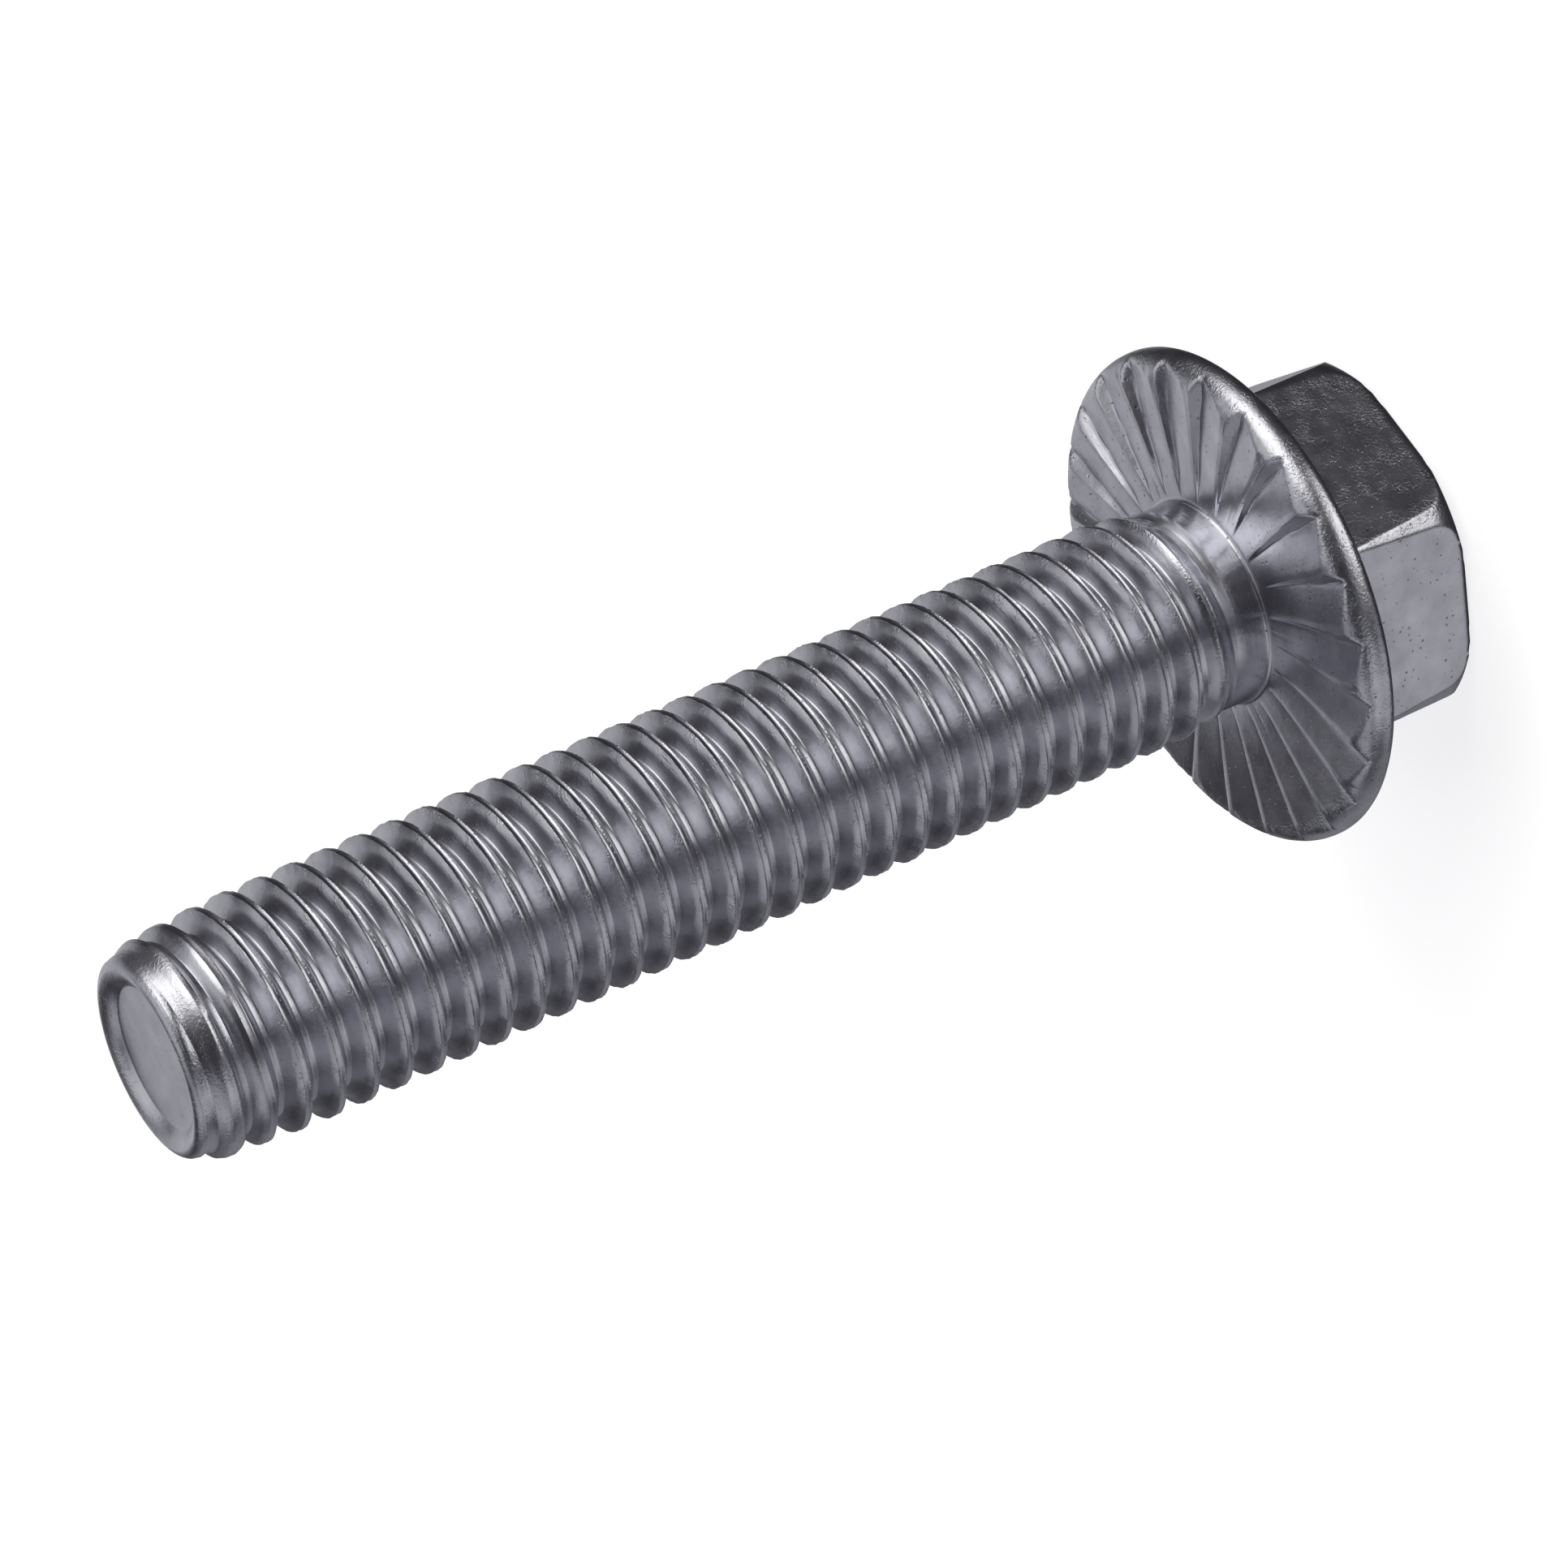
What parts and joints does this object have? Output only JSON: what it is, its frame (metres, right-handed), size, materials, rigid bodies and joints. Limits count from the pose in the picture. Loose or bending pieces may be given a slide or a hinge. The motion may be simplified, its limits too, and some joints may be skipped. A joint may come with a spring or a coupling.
{
  "type": "flange bolt",
  "caption": "Serrated hexagon flange bolt, threaded along its whole shank, with a ratchet-toothed bearing face and a rolled, dished tip.",
  "frame": {"origin": "centre of the head's flat top face, on which the bolt stands", "axes": "+Z along the bolt's axis from the head towards the tip, X square to two of the hexagon's flats"},
  "size_m": [0.0218, 0.0218, 0.0584],
  "materials": {
    "zinc_plated_steel": "bright zinc plating over cold-formed steel, satin with small pits"
  },
  "bodies": {
    "root": {"flange_bolt": "zinc_plated_steel"}
  },
  "joints": []
}
